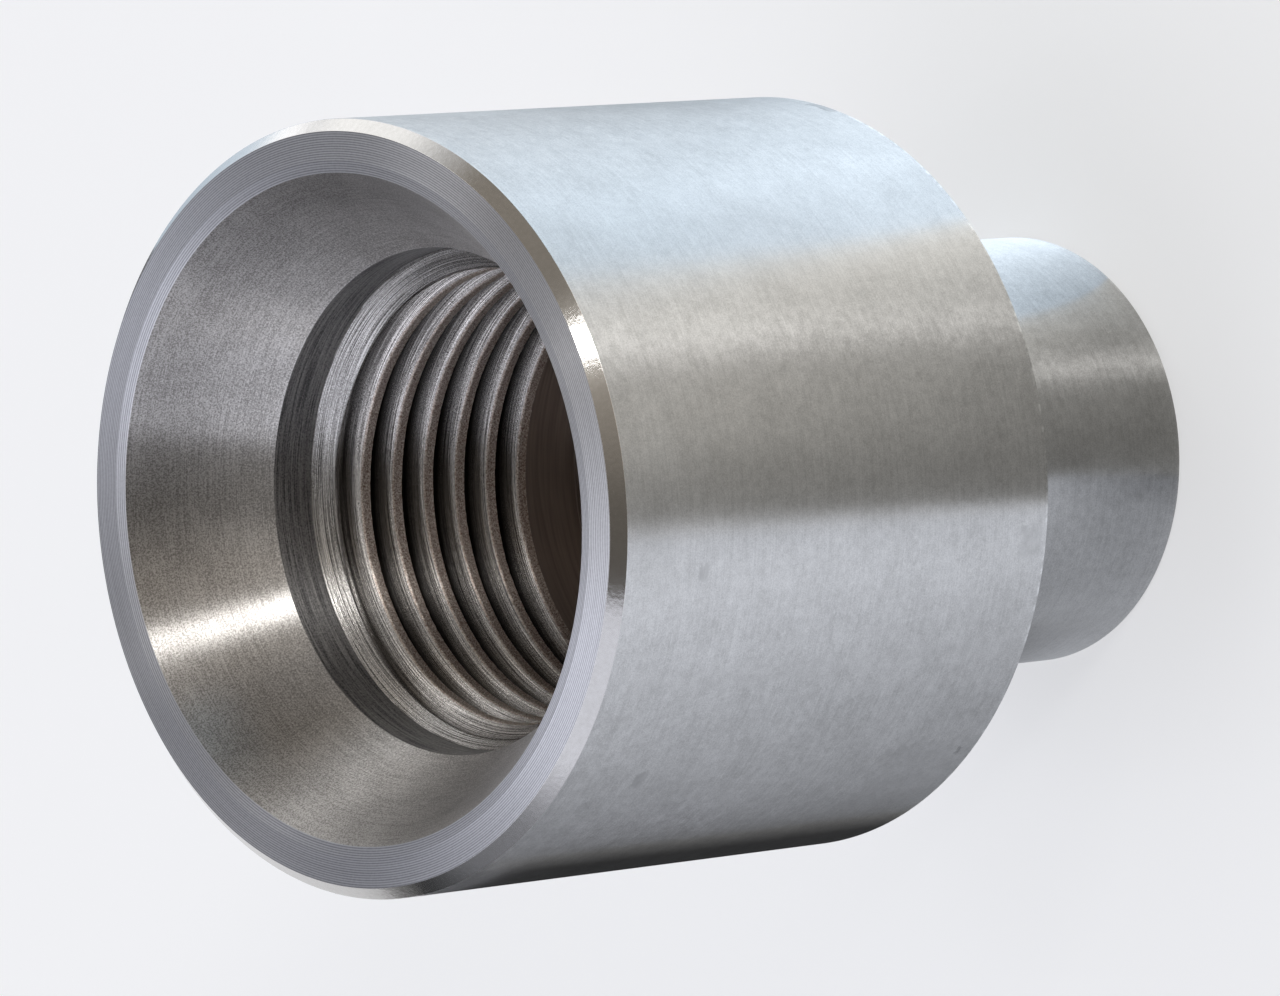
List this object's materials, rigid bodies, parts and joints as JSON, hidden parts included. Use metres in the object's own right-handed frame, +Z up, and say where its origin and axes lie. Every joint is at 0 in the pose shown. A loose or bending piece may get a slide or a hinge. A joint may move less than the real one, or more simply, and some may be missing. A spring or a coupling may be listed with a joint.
{
  "type": "thread adapter",
  "caption": "Turned steel thread adapter: a wide round body with a conical mouth over a large female thread, and a slim boss with a smaller female thread.",
  "frame": {"origin": "centre of the boss's end face, on which the piece stands", "axes": "+Z up the axis, from the boss to the mouth"},
  "size_m": [0.032, 0.032, 0.0404],
  "materials": {
    "turned_steel": "satin, turned"
  },
  "bodies": {
    "root": {"adapter_body": "turned_steel"}
  },
  "joints": []
}
